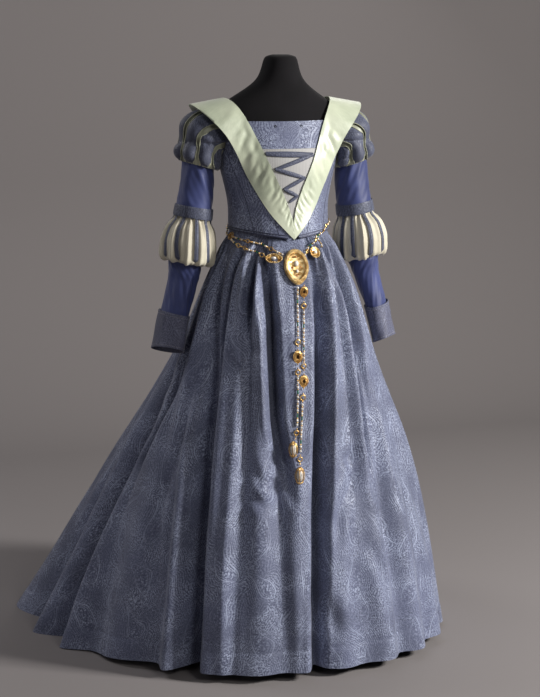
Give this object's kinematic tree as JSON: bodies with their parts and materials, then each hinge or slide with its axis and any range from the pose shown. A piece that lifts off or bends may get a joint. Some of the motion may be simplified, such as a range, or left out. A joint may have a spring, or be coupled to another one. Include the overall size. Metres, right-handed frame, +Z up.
{
  "type": "court dress on a dress form",
  "caption": "Early Renaissance style court gown with V collar, laced front, paned sleeves, trained skirt and jewelled girdle, on a limbless dress form.",
  "frame": {"origin": "on the floor, at the middle of the form's round foot, under the body's axis", "axes": "+Z up, the wearer faces -Y, +X towards the wearer's left"},
  "size_m": [1.1409, 1.2815, 1.574],
  "materials": {
    "damask": "steel-blue figured silk damask, soft sheen",
    "collar_satin": "pale celadon satin",
    "sleeve_satin": "pale green satin puff",
    "stomacher_linen": "pale grey finely striped cloth",
    "sleeve_silk": "plain navy silk, soft sheen",
    "puff_cream": "ivory silk puffs",
    "form_jersey": "black knitted cover",
    "form_steel": "black satin paint",
    "girdle_gilt": "gilt filigree, polished",
    "girdle_beads": "imitation pearls, green and gilt beads"
  },
  "bodies": {
    "root": {"form_torso": "form_jersey", "form_pole": "form_steel", "form_foot": "form_steel", "stomacher": "stomacher_linen", "neckline_panel": "damask", "bodice_front_left": "damask", "bodice_front_right": "damask", "bodice_side_left": "damask", "bodice_side_right": "damask", "bodice_back_left": "damask", "bodice_back_right": "damask", "collar_left": "collar_satin", "collar_right": "collar_satin", "lacing": "damask", "sleeve_shoulder_lining_left": "sleeve_satin", "sleeve_shoulder_lining_right": "sleeve_satin", "sleeve_shoulder_panes_left": "damask", "sleeve_shoulder_panes_right": "damask", "sleeve_upper_left": "sleeve_silk", "sleeve_upper_right": "sleeve_silk", "sleeve_elbow_band_left": "damask", "sleeve_elbow_band_right": "damask", "sleeve_elbow_puff_left": "puff_cream", "sleeve_elbow_puff_right": "puff_cream", "sleeve_elbow_panes_left": "damask", "sleeve_elbow_panes_right": "damask", "sleeve_lower_left": "sleeve_silk", "sleeve_lower_right": "sleeve_silk", "cuff_left": "damask", "cuff_right": "damask", "skirt_waistband": "damask", "skirt_front": "damask", "skirt_front_left": "damask", "skirt_side_left": "damask", "skirt_back_side_left": "damask", "skirt_back_left": "damask", "skirt_back_right": "damask", "skirt_back_side_right": "damask", "skirt_side_right": "damask", "skirt_front_right": "damask", "girdle_chain_back": "girdle_beads", "girdle_chain_upper": "girdle_beads", "girdle_chain_lower": "girdle_beads", "girdle_clasp": "girdle_gilt", "girdle_plaque_front": "girdle_gilt", "girdle_plaque_side": "girdle_gilt", "girdle_plaque_hip": "girdle_gilt", "girdle_strand_left": "girdle_beads", "girdle_strand_right": "girdle_beads"}
  },
  "joints": []
}
